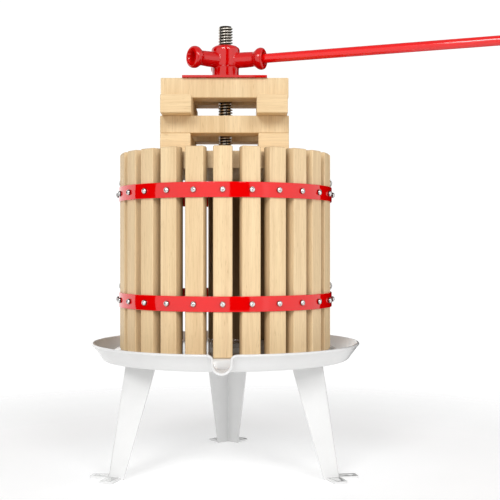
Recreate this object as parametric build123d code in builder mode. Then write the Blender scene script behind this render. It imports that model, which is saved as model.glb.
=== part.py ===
"""Basket wine press: enamelled tray on three legs, slatted basket, screw spindle, press head and blocks.

Millimetres. +Z is up and the floor is Z = 0. The origin is on the spindle axis at the floor.
The front of the press, with the spout, faces -Y. Azimuth is measured from the front towards +X.
"""
import os
from math import atan2, cos, degrees, hypot, radians, sin

from build123d import *

os.makedirs("parts", exist_ok=True)

# ---- Driving dimensions -------------------------------------------------------------------------

# Tray: pressed and enamelled sheet steel
TRAY_SHEET = 2.4
TRAY_RIM_R = 190.0
TRAY_RIM_TOP = 177.0
TRAY_BOTTOM = 153.0
RIM_BEAD_R = 1.8
PLATEAU_TOP = 167.9
PLATEAU_R = 157.0
GUTTER_FLOOR_R = (162.0, 173.0)
WALL_KNEE = (180.0, 164.0)
SHEET_BENDS = (4.0, 3.5, 7.0, 14.0)
SPINDLE_HOLE_CLEARANCE = 0.5
SPOUT_INNER_R = 10.9
SPOUT_WALL_R = SPOUT_INNER_R + TRAY_SHEET
SPOUT_TIP_Y = -206.0
SPOUT_TIP_TOP = 159.0
SPOUT_START_Y = -168.0

# Legs: three tapering angle channels with two foot ears each
LEG_ANGLES = {"front_left_leg": 210.0, "front_right_leg": 330.0, "rear_leg": 90.0}
LEG_SHEET = 3.0
LEG_TOP = {"apex": 152.7, "depth": 31.4, "width": 70.0}
LEG_FOOT = {"apex": 180.0, "depth": 15.0, "width": 34.0}
LEG_TAB_INNER = 96.0
LEG_TAB_WIDTH = 52.0
LEG_BOLT_R, LEG_BOLT_T = 107.0, 15.0
FOOT_HOLE_R, FOOT_HOLE_T = 186.0, 18.5
FOOT_HOLE_DIAMETER = 7.0
EAR_SIZE = 19.0
EAR_CORNER_R = 2.0
LEG_TAB_CORNER_R = 3.0
LEG_TAB_OVERLAP = 6.0

# Fixings of the legs
BOLT_R = 4.0
BOLT_HOLE_R = 4.5
BOLT_HEAD_R, BOLT_HEAD_HEIGHT, BOLT_HEAD_ROUND = 8.5, 3.0, 2.0
BOLT_TIP_LENGTH = 2.0
WASHER_THICKNESS = 1.6
WASHER_CLEARANCE = 0.2
NUT_FLAT_R, NUT_HEIGHT = 6.5, 6.5

# Spindle and its fixing in the tray
SPINDLE_R = 10.0
SPINDLE_TOP = 625.5
SPINDLE_BOTTOM = 142.0
SPINDLE_CHAMFER = 1.2
COLLAR_FLANGE_R, COLLAR_HEIGHT, COLLAR_CHAMFER = 22.0, 8.0, 1.5
SPINDLE_WASHER_R, SPINDLE_WASHER = 20.0, 3.0
SPINDLE_NUT_FLAT_R, SPINDLE_NUT_HEIGHT = 15.0, 13.0
THREAD_CLEARANCE = 0.05

# Basket: an odd number of slats, one of them at the front, held by two hoops
SLAT_COUNT = 25
SLAT_WIDTH = 25.0
SLAT_THICKNESS = 16.5
SLAT_OUTER = 148.8
SLAT_BOTTOM = 168.0
SLAT_HEIGHT = 273.4
SLAT_CHAMFER = 1.5
HOOP_INNER_R = 149.3
HOOP_SHEET = 2.0
HOOP_HEIGHT = 20.0
HOOP_CENTRES = {"upper": 384.8, "lower": 237.5}
HOOP_SCREW_R = 1.7
SCREW_HEAD_R = 3.8
SCREW_HEAD_HEIGHT = 4.3
SCREW_DEPTH = 11.0
SCREW_HOLE_CLEARANCE = 0.2

# Seams between the two halves of the basket: rolled knuckles joined by lock pins
SEAM_AZIMUTH = 6.5 * 360.0 / SLAT_COUNT
KNUCKLE_R = 4.65
KNUCKLE_GAP = 0.5
PIN_R = 2.5
PIN_CLEARANCE = 0.1
PIN_RING_R = 5.75
PIN_RING_WIRE_R = 1.25
PIN_OVERHANG = 3.0
PIN_SHOULDER_R, PIN_SHOULDER = 3.9, 1.5
PIN_CHAMFER = 0.6

# Press stack: plate, four layers of two blocks, two half-moon boards
PLATE_SIZE = 117.0
PLATE_THICKNESS = 3.0
PLATE_TOP = 547.0
PLATE_CORNER_R = 2.0
BLOCK_CHAMFER = 1.2
DISC_R = 128.0
DISC_BOTTOM = 414.0
DISC_THICKNESS = 22.5
STACK_BORE_R = 11.5
BOARD_GAP = 1.0

# Press head: threaded hub with three lever sockets
HEAD_ARM_ANGLES = (338.0, 98.0, 218.0)
HEAD_BOTTOM = PLATE_TOP + 0.1
HEAD_TOP = 597.6
HUB_R = 20.3
HUB_FOOT_R = 21.4
ARM_Z = 576.5
ARM_R = 11.0
COLLAR_R = 15.5
MOUTH_REACH = 59.5
SOCKET_R = 6.8
SOCKET_BOTTOM = 20.5
SOCKET_FLARE = (6.0, 2.2)

# Lever
LEVER_R = 6.5
LEVER_INNER = 21.0
LEVER_LENGTH = 459.0
LEVER_END_ROUND = 2.0


# ---- Small helpers ------------------------------------------------------------------------------

def on_circle(radius, angle, z=0.0):
    """Point at a radius and a polar angle about the spindle."""
    return (radius * cos(radians(angle)), radius * sin(radians(angle)), z)


def outward_plane(angle, z=0.0):
    """Vertical plane whose x axis points outward at the polar angle and whose y axis is up."""
    outward = on_circle(1.0, angle)
    sideways = (sin(radians(angle)), -cos(radians(angle)), 0)
    return Plane(origin=(0, 0, z), x_dir=outward, z_dir=sideways)


def outward_hole(place, angle):
    """Location at a place, with its z axis pointing outward at the polar angle."""
    return Plane(origin=place, z_dir=on_circle(1.0, angle)).location


def save(piece, name):
    """Label a finished piece and write it as its own file."""
    piece.label = name
    export_step(piece, f"parts/{name}.step")


# ---- Tray ---------------------------------------------------------------------------------------

sheet_half = TRAY_SHEET / 2
floor_mid = TRAY_BOTTOM + sheet_half
plateau_mid = PLATEAU_TOP - sheet_half
rim_mid = (TRAY_RIM_R - RIM_BEAD_R, TRAY_RIM_TOP - RIM_BEAD_R)

tray_hole_r = SPINDLE_R + SPINDLE_HOLE_CLEARANCE
sheet_points = (
    (tray_hole_r, plateau_mid),
    (PLATEAU_R, plateau_mid),
    (GUTTER_FLOOR_R[0], floor_mid),
    (GUTTER_FLOOR_R[1], floor_mid),
    WALL_KNEE,
    rim_mid,
)
above_tray = TRAY_RIM_TOP + 20.0
trough_z = TRAY_BOTTOM + TRAY_SHEET + SPOUT_INNER_R
trough_top = rim_mid[1]

with BuildPart() as tray:
    # Spout: a U trough pressed outward, without what would stand inside the tray
    with BuildSketch(Plane.XZ.offset(-SPOUT_START_Y)) as trough_outer:
        with Locations((0, trough_z)):
            Circle(SPOUT_WALL_R)
        with Locations((0, (trough_z + trough_top) / 2)):
            Rectangle(2 * SPOUT_WALL_R, trough_top - trough_z)
    extrude(amount=SPOUT_START_Y - SPOUT_TIP_Y)
    with BuildSketch(Plane.XZ) as tray_room:
        with BuildLine():
            sheet_edge = FilletPolyline(*sheet_points, radius=SHEET_BENDS)
            Polyline(sheet_edge @ 1, (rim_mid[0], above_tray), (tray_hole_r, above_tray), sheet_edge @ 0)
        make_face()
    revolve(axis=Axis.Z, mode=Mode.SUBTRACT)

    # Pressed sheet with its rolled rim
    with BuildSketch(Plane.XZ) as tray_section:
        with BuildLine() as sheet_middle:
            FilletPolyline(*sheet_points, radius=SHEET_BENDS)
        trace(line_width=TRAY_SHEET)
        with Locations(rim_mid):
            Circle(RIM_BEAD_R)
    revolve(axis=Axis.Z)

    # Channel through the wall, the trough's walls falling towards the tip
    with BuildSketch(Plane.XZ.offset(-SPOUT_START_Y)) as trough_inner:
        with Locations((0, trough_z)):
            Circle(SPOUT_INNER_R)
        with Locations((0, (trough_z + above_tray) / 2)):
            Rectangle(2 * SPOUT_INNER_R, above_tray - trough_z)
    extrude(amount=SPOUT_START_Y - SPOUT_TIP_Y + 1.0, mode=Mode.SUBTRACT)

    with BuildSketch(Plane.YZ.offset(-SPOUT_WALL_R)) as trough_slope:
        with BuildLine():
            Polyline(
                (-TRAY_RIM_R, TRAY_RIM_TOP),
                (SPOUT_TIP_Y - 1.0, SPOUT_TIP_TOP),
                (SPOUT_TIP_Y - 1.0, TRAY_RIM_TOP + 1.0),
                (-TRAY_RIM_R, TRAY_RIM_TOP + 1.0),
                close=True,
            )
        make_face()
    extrude(amount=2 * SPOUT_WALL_R, mode=Mode.SUBTRACT)

    leg_bolt_places = [
        (
            hypot(LEG_BOLT_R, LEG_BOLT_T),
            angle + degrees(atan2(side * LEG_BOLT_T, LEG_BOLT_R)),
        )
        for angle in LEG_ANGLES.values()
        for side in (-1, 1)
    ]
    with Locations(*[on_circle(radius, angle, PLATEAU_TOP) for radius, angle in leg_bolt_places]):
        Hole(radius=BOLT_HOLE_R, depth=2 * TRAY_SHEET)
save(tray.part, "tray")

# ---- Legs ---------------------------------------------------------------------------------------

plateau_underside = PLATEAU_TOP - TRAY_SHEET
tab_underside = plateau_underside - LEG_SHEET


def angle_outline(end):
    """Corner points of the angle section, apex outward along +X."""
    inner = end["apex"] - end["depth"]
    half = end["width"] / 2
    flange = hypot(end["depth"], half)
    apex_step = LEG_SHEET * flange / half
    edge_x, edge_y = LEG_SHEET * half / flange, LEG_SHEET * end["depth"] / flange
    return [
        (end["apex"], 0),
        (inner, half),
        (inner - edge_x, half - edge_y),
        (end["apex"] - apex_step, 0),
        (inner - edge_x, -half + edge_y),
        (inner, -half),
    ]


def build_leg(name, angle):
    with BuildPart() as leg:
        for end, z in ((LEG_FOOT, 0.0), (LEG_TOP, plateau_underside)):
            with BuildSketch(Plane.XY.offset(z)):
                with BuildLine():
                    Polyline(*angle_outline(end), close=True)
                make_face()
        loft()

        # Fixing tab bent inward under the tray
        tab_outer = LEG_TOP["apex"] - LEG_TOP["depth"] + LEG_TAB_OVERLAP
        with BuildSketch(Plane.XY.offset(tab_underside)):
            with Locations(((LEG_TAB_INNER + tab_outer) / 2, 0)):
                RectangleRounded(tab_outer - LEG_TAB_INNER, LEG_TAB_WIDTH, LEG_TAB_CORNER_R)
            with BuildLine():
                Polyline(
                    (tab_outer - LEG_TAB_CORNER_R - 5.0, LEG_TAB_WIDTH / 2 - 1.0),
                    (tab_outer - LEG_TAB_CORNER_R - 5.0, 1.0 - LEG_TAB_WIDTH / 2),
                    (LEG_TOP["apex"] - 2 * LEG_SHEET, 0),
                    close=True,
                )
            make_face()
        extrude(amount=LEG_SHEET)
        with Locations(*[(LEG_BOLT_R, side * LEG_BOLT_T, plateau_underside) for side in (-1, 1)]):
            Hole(radius=BOLT_HOLE_R, depth=2 * LEG_SHEET)

        # Two foot ears, bent outward square to the flanges
        lean = atan2(LEG_FOOT["depth"], LEG_FOOT["width"] / 2)
        hole_out = FOOT_HOLE_R * cos(lean) + FOOT_HOLE_T * sin(lean)
        hole_along = FOOT_HOLE_T * cos(lean) - FOOT_HOLE_R * sin(lean)
        ear_start = LEG_FOOT["apex"] * cos(lean) - 0.8 * LEG_SHEET
        ear_end = hole_out + EAR_SIZE / 2
        for side in (-1, 1):
            with BuildSketch(Plane.XY):
                with Locations(Location((0, 0), side * degrees(lean))):
                    with Locations(((ear_start + ear_end) / 2, side * hole_along)):
                        RectangleRounded(ear_end - ear_start, EAR_SIZE, EAR_CORNER_R)
                with Locations((FOOT_HOLE_R, side * FOOT_HOLE_T)):
                    Circle(FOOT_HOLE_DIAMETER / 2, mode=Mode.SUBTRACT)
            extrude(amount=LEG_SHEET)
    save(leg.part.rotate(Axis.Z, angle), name)


for leg_name, leg_angle in LEG_ANGLES.items():
    build_leg(leg_name, leg_angle)

# Bolts, washers and nuts that hold the legs' tabs to the tray
bolt_tip = tab_underside - WASHER_THICKNESS - NUT_HEIGHT - BOLT_TIP_LENGTH
bolt_points = [on_circle(radius, angle) for radius, angle in leg_bolt_places]

with BuildPart() as leg_bolts:
    with BuildSketch(Plane.XY.offset(bolt_tip)):
        with Locations(*bolt_points):
            Circle(BOLT_R)
    extrude(amount=PLATEAU_TOP - bolt_tip)
    with BuildSketch(Plane.XY.offset(PLATEAU_TOP)):
        with Locations(*bolt_points):
            Circle(BOLT_HEAD_R)
    extrude(amount=BOLT_HEAD_HEIGHT)
    fillet(leg_bolts.edges().group_by(Axis.Z)[-1], BOLT_HEAD_ROUND)
save(leg_bolts.part, "leg_bolts")

with BuildPart() as leg_washers:
    with BuildSketch(Plane.XY.offset(tab_underside - WASHER_THICKNESS)):
        with Locations(*bolt_points):
            Circle(BOLT_HEAD_R)
            Circle(BOLT_R + WASHER_CLEARANCE, mode=Mode.SUBTRACT)
    extrude(amount=WASHER_THICKNESS)
save(leg_washers.part, "leg_washers")

with BuildPart() as leg_nuts:
    with BuildSketch(Plane.XY.offset(tab_underside - WASHER_THICKNESS - NUT_HEIGHT)):
        with Locations(*bolt_points):
            RegularPolygon(radius=NUT_FLAT_R, side_count=6, major_radius=False)
            Circle(BOLT_R + THREAD_CLEARANCE, mode=Mode.SUBTRACT)
    extrude(amount=NUT_HEIGHT)
save(leg_nuts.part, "leg_nuts")

# ---- Spindle ------------------------------------------------------------------------------------

with BuildPart() as spindle:
    with BuildSketch(Plane.XY.offset(SPINDLE_BOTTOM)):
        Circle(SPINDLE_R)
    extrude(amount=SPINDLE_TOP - SPINDLE_BOTTOM)
    chamfer(spindle.edges().filter_by(GeomType.CIRCLE), SPINDLE_CHAMFER)
save(spindle.part, "spindle")

with BuildPart() as spindle_collar:
    with BuildSketch(Plane.XY.offset(PLATEAU_TOP)):
        Circle(COLLAR_FLANGE_R)
        Circle(SPINDLE_R + THREAD_CLEARANCE, mode=Mode.SUBTRACT)
    extrude(amount=COLLAR_HEIGHT)
    chamfer(spindle_collar.edges().group_by(Axis.Z)[-1].sort_by(SortBy.RADIUS)[-1], COLLAR_CHAMFER)
save(spindle_collar.part, "spindle_collar")

with BuildPart() as spindle_washer:
    with BuildSketch(Plane.XY.offset(plateau_underside - SPINDLE_WASHER)):
        Circle(SPINDLE_WASHER_R)
        Circle(SPINDLE_R + WASHER_CLEARANCE, mode=Mode.SUBTRACT)
    extrude(amount=SPINDLE_WASHER)
save(spindle_washer.part, "spindle_washer")

with BuildPart() as spindle_nut:
    with BuildSketch(Plane.XY.offset(plateau_underside - SPINDLE_WASHER - SPINDLE_NUT_HEIGHT)):
        RegularPolygon(radius=SPINDLE_NUT_FLAT_R, side_count=6, major_radius=False)
        Circle(SPINDLE_R + THREAD_CLEARANCE, mode=Mode.SUBTRACT)
    extrude(amount=SPINDLE_NUT_HEIGHT)
save(spindle_nut.part, "spindle_nut")

# ---- Basket slats -------------------------------------------------------------------------------

slat_angles = [-90.0 + k * 360.0 / SLAT_COUNT for k in range(SLAT_COUNT)]
slat_middle = SLAT_OUTER - SLAT_THICKNESS / 2

with BuildPart() as slat:
    with BuildSketch(Plane.XY.offset(SLAT_BOTTOM)):
        with Locations((slat_middle, 0)):
            Rectangle(SLAT_THICKNESS, SLAT_WIDTH)
    extrude(amount=SLAT_HEIGHT)
    chamfer(slat.edges(), SLAT_CHAMFER)
    for centre in HOOP_CENTRES.values():
        with Locations(outward_hole((SLAT_OUTER, 0, centre), 0.0)):
            Hole(radius=HOOP_SCREW_R + THREAD_CLEARANCE, depth=SCREW_DEPTH)

for number, slat_angle in enumerate(slat_angles, start=1):
    save(slat.part.rotate(Axis.Z, slat_angle), f"slat_{number:02d}")

# ---- Hoops --------------------------------------------------------------------------------------

hoop_outer_r = HOOP_INNER_R + HOOP_SHEET
knuckle_axis_r = hoop_outer_r - KNUCKLE_R
knuckle_height = (HOOP_HEIGHT - 2 * KNUCKLE_GAP) / 3
seam_relief = degrees((KNUCKLE_R + KNUCKLE_GAP) / HOOP_INNER_R)
FRONT = -90.0
REAR = 90.0
half_reach = {FRONT: SEAM_AZIMUTH, REAR: 180.0 - SEAM_AZIMUTH}
front_slats = [angle for angle in slat_angles if cos(radians(angle - FRONT)) > cos(radians(SEAM_AZIMUTH))]
rear_slats = [angle for angle in slat_angles if angle not in front_slats]


def build_hoop_half(name, bottom, middle, knuckle_levels, screw_angles):
    reach = half_reach[middle]
    strips = [(bottom, HOOP_HEIGHT, reach - seam_relief, False)]
    for level in knuckle_levels:
        strips.append((bottom + level * (knuckle_height + KNUCKLE_GAP), knuckle_height, reach, True))
    with BuildPart() as hoop:
        for strip_bottom, strip_height, half_angle, has_knuckles in strips:
            with BuildSketch(Plane.XY.offset(strip_bottom)):
                with BuildLine():
                    outer = CenterArc((0, 0), hoop_outer_r, middle - half_angle, 2 * half_angle)
                    inner = CenterArc((0, 0), HOOP_INNER_R, middle - half_angle, 2 * half_angle)
                    Line(outer @ 0, inner @ 0)
                    Line(outer @ 1, inner @ 1)
                make_face()
                if has_knuckles:
                    with Locations(*[on_circle(knuckle_axis_r, middle + side * reach) for side in (-1, 1)]):
                        Circle(KNUCKLE_R)
                        Circle(PIN_R + PIN_CLEARANCE, mode=Mode.SUBTRACT)
            extrude(amount=strip_height)
        for angle in screw_angles:
            place = on_circle(hoop_outer_r, angle, bottom + HOOP_HEIGHT / 2)
            with Locations(outward_hole(place, angle)):
                Hole(radius=HOOP_SCREW_R + SCREW_HOLE_CLEARANCE, depth=2 * HOOP_SHEET)
    save(hoop.part, name)


for hoop_name, centre in HOOP_CENTRES.items():
    bottom = centre - HOOP_HEIGHT / 2
    build_hoop_half(f"{hoop_name}_hoop_front", bottom, FRONT, (0, 2), front_slats)
    build_hoop_half(f"{hoop_name}_hoop_rear", bottom, REAR, (1,), rear_slats)


# Round-headed screws, one for each slat in each hoop
def build_screws(name, angles):
    with BuildPart() as screws:
        for centre in HOOP_CENTRES.values():
            for angle in angles:
                with BuildSketch(outward_plane(angle, centre)):
                    with BuildLine():
                        seat = hoop_outer_r + 0.05
                        start, tip = seat + SCREW_HEAD_HEIGHT, SLAT_OUTER - SCREW_DEPTH + 0.5
                        dome = ThreePointArc(
                            (start, 0),
                            (seat + 0.78 * SCREW_HEAD_HEIGHT, 0.62 * SCREW_HEAD_R),
                            (seat, SCREW_HEAD_R),
                        )
                        Polyline(dome @ 1, (seat, HOOP_SCREW_R), (tip, HOOP_SCREW_R), (tip, 0), dome @ 0)
                    make_face()
                revolve(axis=Axis((0, 0, centre), on_circle(1.0, angle)))
    save(screws.part, name)


build_screws("front_slat_screws", front_slats)
build_screws("rear_slat_screws", rear_slats)

# Lock pins with a ring to pull them by
for hoop_name, centre in HOOP_CENTRES.items():
    for side_name, seam_angle in (("right", FRONT + SEAM_AZIMUTH), ("left", FRONT - SEAM_AZIMUTH)):
        pin_bottom = centre - HOOP_HEIGHT / 2 - PIN_OVERHANG
        pin_top = centre + HOOP_HEIGHT / 2 + PIN_OVERHANG
        pin_place = on_circle(knuckle_axis_r, seam_angle)
        shoulder = centre + HOOP_HEIGHT / 2
        ring_plane = Plane(
            origin=(pin_place[0], pin_place[1], pin_top + PIN_RING_R - 1.0),
            x_dir=on_circle(1.0, seam_angle),
            z_dir=on_circle(1.0, seam_angle + 90.0),
        )
        with BuildPart() as pin:
            with BuildSketch(Plane.XY.offset(pin_bottom)):
                with Locations(pin_place):
                    Circle(PIN_R)
            extrude(amount=pin_top - pin_bottom)
            chamfer(pin.edges().group_by(Axis.Z)[0], PIN_CHAMFER)
            with BuildSketch(Plane.XY.offset(shoulder)):
                with Locations(pin_place):
                    Circle(PIN_SHOULDER_R)
            extrude(amount=PIN_SHOULDER)
            with BuildSketch(ring_plane.offset(-PIN_RING_WIRE_R)):
                Circle(PIN_RING_R + PIN_RING_WIRE_R)
                Circle(PIN_RING_R - PIN_RING_WIRE_R, mode=Mode.SUBTRACT)
            extrude(amount=2 * PIN_RING_WIRE_R)
        save(pin.part, f"{hoop_name}_{side_name}_pin")

# ---- Press stack --------------------------------------------------------------------------------

with BuildPart() as thrust_plate:
    with BuildSketch(Plane.XY.offset(PLATE_TOP - PLATE_THICKNESS)):
        RectangleRounded(PLATE_SIZE, PLATE_SIZE, PLATE_CORNER_R)
        Circle(STACK_BORE_R, mode=Mode.SUBTRACT)
    extrude(amount=PLATE_THICKNESS)
save(thrust_plate.part, "thrust_plate")

# name: (x range, y range, z range)
BLOCKS = {
    "top_beam_front": ((-88.0, 88.0), (-54.0, -12.0), (516.5, 544.0)),
    "top_beam_rear": ((-88.0, 88.0), (12.0, 54.0), (516.5, 544.0)),
    "upper_block_left": ((-86.0, -44.0), (-86.0, 86.0), (491.5, 516.5)),
    "upper_block_right": ((44.0, 86.0), (-86.0, 86.0), (491.5, 516.5)),
    "middle_beam_front": ((-88.5, 88.5), (-58.0, -16.0), (467.5, 491.5)),
    "middle_beam_rear": ((-88.5, 88.5), (52.0, 94.0), (467.5, 491.5)),
    "lower_block_left": ((-88.5, -46.5), (-58.0, 94.0), (436.5, 467.5)),
    "lower_block_right": ((46.5, 88.5), (-58.0, 94.0), (436.5, 467.5)),
}

for block_name, (x_range, y_range, z_range) in BLOCKS.items():
    with BuildPart() as block:
        with BuildSketch(Plane.XY.offset(z_range[0])):
            with Locations((sum(x_range) / 2, sum(y_range) / 2)):
                Rectangle(x_range[1] - x_range[0], y_range[1] - y_range[0])
        extrude(amount=z_range[1] - z_range[0])
        chamfer(block.edges(), BLOCK_CHAMFER)
    save(block.part, block_name)

# Two half-moon boards that meet across the middle
for board_name, board_side in (("press_board_front", -1), ("press_board_rear", 1)):
    with BuildPart() as board:
        with BuildSketch(Plane.XY.offset(DISC_BOTTOM)):
            Circle(DISC_R)
            Circle(STACK_BORE_R, mode=Mode.SUBTRACT)
            with Locations((0, board_side * (DISC_R + BOARD_GAP / 2))):
                Rectangle(2 * DISC_R, 2 * DISC_R, mode=Mode.INTERSECT)
        extrude(amount=DISC_THICKNESS)
        rim = board.edges().filter_by(GeomType.CIRCLE).filter_by(lambda edge: edge.radius > DISC_R - 1)
        chamfer(rim, BLOCK_CHAMFER)
    save(board.part, board_name)

# ---- Press head ---------------------------------------------------------------------------------

with BuildPart() as press_head:
    with BuildSketch(Plane.XZ):
        with BuildLine():
            Polyline(
                (0, HEAD_BOTTOM),
                (HUB_FOOT_R, HEAD_BOTTOM),
                (HUB_FOOT_R, HEAD_BOTTOM + 3.0),
                (HUB_R - 1.5, HEAD_BOTTOM + 5.5),
                (HUB_R, ARM_Z - ARM_R),
                (HUB_R, HEAD_TOP - 6.0),
                (HUB_R - 2.5, HEAD_TOP - 2.0),
                (HUB_R - 7.0, HEAD_TOP),
                (0, HEAD_TOP),
                close=True,
            )
        make_face()
    revolve(axis=Axis.Z)
    for angle in HEAD_ARM_ANGLES:
        arm_axis = Axis((0, 0, ARM_Z), on_circle(1.0, angle))
        with BuildSketch(outward_plane(angle, ARM_Z)):
            with BuildLine():
                Polyline(
                    (0, 0),
                    (0, ARM_R),
                    (44.0, ARM_R - 0.5),
                    (47.5, COLLAR_R - 2.0),
                    (50.0, COLLAR_R),
                    (MOUTH_REACH - 2.5, COLLAR_R),
                    (MOUTH_REACH, COLLAR_R - 2.5),
                    (MOUTH_REACH, 0),
                    close=True,
                )
            make_face()
        revolve(axis=arm_axis)
    for angle in HEAD_ARM_ANGLES:
        with BuildSketch(outward_plane(angle, ARM_Z)):
            with BuildLine():
                Polyline(
                    (SOCKET_BOTTOM, 0),
                    (SOCKET_BOTTOM, SOCKET_R),
                    (MOUTH_REACH - SOCKET_FLARE[0], SOCKET_R),
                    (MOUTH_REACH, SOCKET_R + SOCKET_FLARE[1]),
                    (MOUTH_REACH, 0),
                    close=True,
                )
            make_face()
        revolve(axis=Axis((0, 0, ARM_Z), on_circle(1.0, angle)), mode=Mode.SUBTRACT)
    with Locations((0, 0, HEAD_TOP)):
        Hole(radius=SPINDLE_R + THREAD_CLEARANCE, depth=HEAD_TOP - HEAD_BOTTOM)
save(press_head.part, "press_head")

# ---- Lever --------------------------------------------------------------------------------------

lever_direction = on_circle(1.0, HEAD_ARM_ANGLES[0])
with BuildPart() as lever_bar:
    with BuildSketch(Plane(origin=on_circle(LEVER_INNER, HEAD_ARM_ANGLES[0], ARM_Z), z_dir=lever_direction)):
        Circle(LEVER_R)
    extrude(amount=LEVER_LENGTH)
    fillet(lever_bar.edges().filter_by(GeomType.CIRCLE), LEVER_END_ROUND)
save(lever_bar.part, "lever_bar")
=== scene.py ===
"""Looks of the basket wine press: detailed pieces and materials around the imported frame, in metres."""
from math import atan2, cos, degrees, pi, radians, sin, sqrt

import bmesh
import bpy
from mathutils import Matrix, Vector


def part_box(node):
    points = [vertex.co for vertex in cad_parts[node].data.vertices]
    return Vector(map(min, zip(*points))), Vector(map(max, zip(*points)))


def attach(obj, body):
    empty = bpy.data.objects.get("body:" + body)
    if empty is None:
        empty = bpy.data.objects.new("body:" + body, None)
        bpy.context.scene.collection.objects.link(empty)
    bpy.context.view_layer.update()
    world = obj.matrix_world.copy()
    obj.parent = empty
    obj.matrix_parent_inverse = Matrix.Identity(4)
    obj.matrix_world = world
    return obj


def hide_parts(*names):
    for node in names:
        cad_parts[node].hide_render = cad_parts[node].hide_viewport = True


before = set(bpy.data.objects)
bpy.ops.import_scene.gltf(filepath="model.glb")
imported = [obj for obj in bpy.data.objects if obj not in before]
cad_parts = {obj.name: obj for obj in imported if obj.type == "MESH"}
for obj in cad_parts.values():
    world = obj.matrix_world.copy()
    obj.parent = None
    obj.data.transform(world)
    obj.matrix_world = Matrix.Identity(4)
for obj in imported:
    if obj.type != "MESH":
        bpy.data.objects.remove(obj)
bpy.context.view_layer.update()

MM = 0.001
scene = bpy.context.scene
scene.view_settings.view_transform = "Standard"

# ---- Driving sizes, in millimetres, as in the frame ----------------------------------------------

SLAT_COUNT = 25
SLAT_WIDTH, SLAT_THICKNESS, SLAT_OUTER = 25.0, 16.5, 148.8
SLAT_EDGE = 1.5
# The slats darken inward between these radii, in metres: painted shade inside the basket.
INNER_SHADE_FROM, INNER_SHADE_TO = 0.132, 0.142
HOOP_INNER, HOOP_SHEET, HOOP_HEIGHT = 149.3, 2.0, 20.0
HOOP_CENTRES = {"upper": 384.8, "lower": 237.5}
SEAM_AZIMUTH = 6.5 * 360.0 / SLAT_COUNT
KNUCKLE_R, KNUCKLE_GAP, KNUCKLE_EDGE = 4.65, 0.5, 0.4
PIN_R, PIN_CLEARANCE, PIN_OVERHANG, PIN_SHOULDER_R = 2.5, 0.1, 3.0, 3.9
PIN_RING_R, PIN_WIRE_R = 5.75, 1.25
SCREW_HEAD_R, SCREW_HEAD_HEIGHT, SCREW_HEAD_RIM = 3.8, 4.3, 1.2
SCREW_SLOT_DEPTH, SCREW_SLOT_HALF = 1.8, 0.65
TRAY_SHEET = 2.4
TRAY_BOTTOM, SEAT_TOP, SEAT_R = 153.0, 167.9, 157.0
GUTTER_R, WALL_KNEE = (162.0, 173.0), (180.0, 164.0)
TRAY_BENDS = (4.0, 3.5, 7.0, 14.0)
RIM_R, RIM_TOP, RIM_BEAD = 190.0, 177.0, 1.8
SPOUT_R, SPOUT_Z, SPOUT_SHOULDER_R = 12.1, 166.3, 6.0
SPOUT_TIP_Y, SPOUT_TIP_Z, SPOUT_TIP_INSET = -206.0, 154.0, 1.6
SPINDLE_R, THREAD_DEPTH, THREAD_PITCH, THREAD_FLATS = 10.0, 2.5, 4.0, 0.73
HEAD_ANGLES = (338.0, 98.0, 218.0)
ARM_Z, ARM_R, COLLAR_R, MOUTH = 576.5, 11.0, 15.5, 59.5
HUB_R, HEAD_FOOT_R, HEAD_BOTTOM, HEAD_TOP = 20.3, 21.4, 547.1, 597.6
HEAD_VOXEL = 0.7
SOCKET_R, SOCKET_BOTTOM = 6.8, 20.5
SPINDLE_BORE_R, STACK_BORE_R = 10.05, 11.5
LEVER_R, LEVER_INNER, LEVER_OUTER = 6.5, 21.0, 480.0
LEG_SHEET, LEG_HEIGHT = 3.0, 165.5
LEG_FOOT = {"apex": 180.0, "depth": 15.0, "half_width": 17.0}
LEG_TOP = {"apex": 152.7, "depth": 31.4, "half_width": 35.0}
FOOT_HOLE = {"outward": 186.0, "sideways": 18.5, "radius": 3.5, "ear": 19.0}
LEG_BOLT = {"outward": 107.0, "sideways": 15.0, "radius": 4.5}
LEG_TAB = {"inner": 96.0, "outer": 127.3, "half_width": 26.0}
LEG_ANGLES = {"front_left_leg": 210.0, "front_right_leg": 330.0, "rear_leg": 90.0}


# ---- Material building ---------------------------------------------------------------------------

def new_material(name):
    """An empty node material with its shader; returns the material, its nodes, links and shader."""
    material = bpy.data.materials.new(name)
    material.use_nodes = True
    tree = material.node_tree
    return material, tree.nodes, tree.links, tree.nodes["Principled BSDF"]


def object_noise(nodes, links, scale, detail=4.0, stretch=(1.0, 1.0, 1.0)):
    """Noise in the object's own coordinates, stretched along the axes by a small factor."""
    coordinates = nodes.new("ShaderNodeTexCoord")
    mapping = nodes.new("ShaderNodeMapping")
    mapping.inputs["Scale"].default_value = stretch
    noise = nodes.new("ShaderNodeTexNoise")
    noise.inputs["Scale"].default_value = scale
    noise.inputs["Detail"].default_value = detail
    links.new(coordinates.outputs["Object"], mapping.inputs["Vector"])
    links.new(mapping.outputs["Vector"], noise.inputs["Vector"])
    return noise


def colour_ramp(nodes, links, source, stops):
    ramp = nodes.new("ShaderNodeValToRGB")
    while len(ramp.color_ramp.elements) < len(stops):
        ramp.color_ramp.elements.new(0.5)
    for element, (place, colour) in zip(ramp.color_ramp.elements, stops):
        element.position = place
        element.color = (*colour, 1.0)
    links.new(source, ramp.inputs["Fac"])
    return ramp


def mix_colour(nodes, links, kind, factor, first, second):
    """Mix two colour outputs; factor is a number or an output."""
    mix = nodes.new("ShaderNodeMix")
    mix.data_type = "RGBA"
    mix.blend_type = kind
    if isinstance(factor, float):
        mix.inputs["Factor"].default_value = factor
    else:
        links.new(factor, mix.inputs["Factor"])
    links.new(first, mix.inputs["A"])
    links.new(second, mix.inputs["B"])
    return mix.outputs["Result"]


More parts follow.
